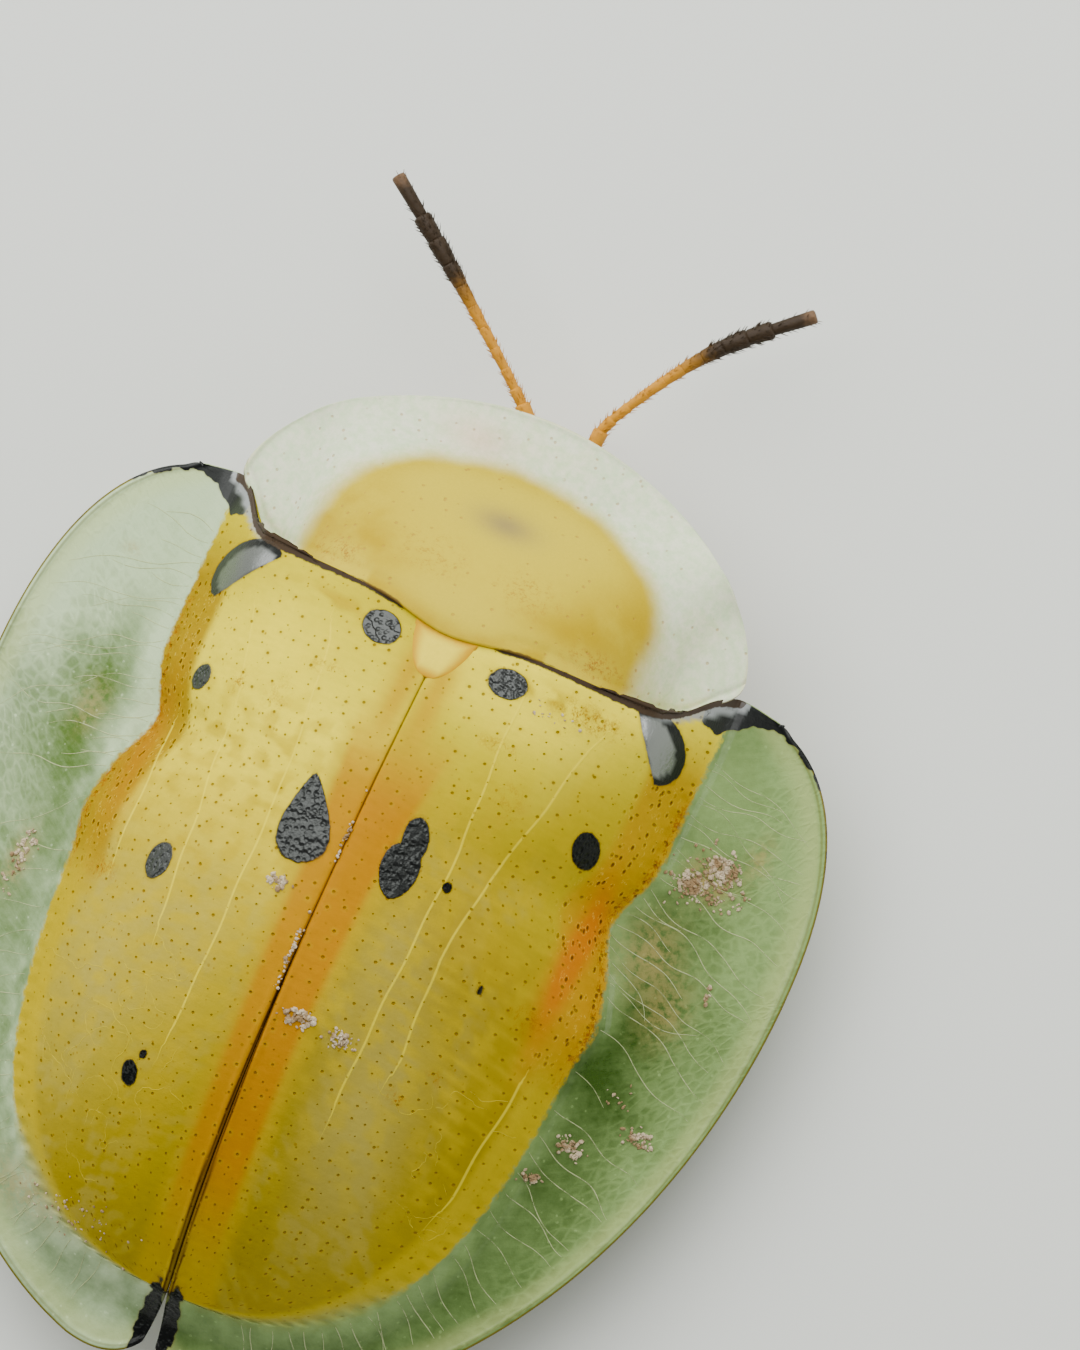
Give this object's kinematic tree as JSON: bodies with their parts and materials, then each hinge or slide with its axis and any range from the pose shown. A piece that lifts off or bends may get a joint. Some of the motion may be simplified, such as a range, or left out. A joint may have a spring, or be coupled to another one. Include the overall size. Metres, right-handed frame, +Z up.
{
  "type": "tortoise beetle",
  "caption": "Life-size tortoise beetle standing still, with a domed yellow shell spotted black, a clear flat brim all round and both feelers spread.",
  "frame": {"origin": "On the floor, under the middle of the whole animal's bounding box, feelers included.", "axes": "+Z up. The head points along -Y and the tip of the wing cases along +Y. +X is the animal's left side."},
  "size_m": [0.0118, 0.0168, 0.0055],
  "materials": {
    "shell": "Glossy yellow wing-case cuticle, cream in front and ochre behind, with black spots, orange bands beside the seam and fine punctures.",
    "brim": "Clear horny brim of the wing cases and shield, with pale veins and an olive rim.",
    "shield": "Cream-yellow shield over the head, glossy, with one dark oval spot and brown specks.",
    "belly": "Amber-brown underside, satin, with fine hairs and pits.",
    "limb": "Amber head, legs and feelers, satin; the outer half of each feeler is black.",
    "eye": "Black faceted eye, glossy."
  },
  "bodies": {
    "root": {"elytron_left": "shell", "elytron_right": "shell", "scutellum": "shell", "pronotum": "shield", "thorax": "belly", "abdomen": "belly", "head": "limb", "eye_left": "eye", "antenna_left": "limb", "leg_front_left": "limb", "leg_middle_left": "limb", "leg_hind_left": "limb", "eye_right": "eye", "antenna_right": "limb", "leg_front_right": "limb", "leg_middle_right": "limb", "leg_hind_right": "limb"}
  },
  "joints": []
}
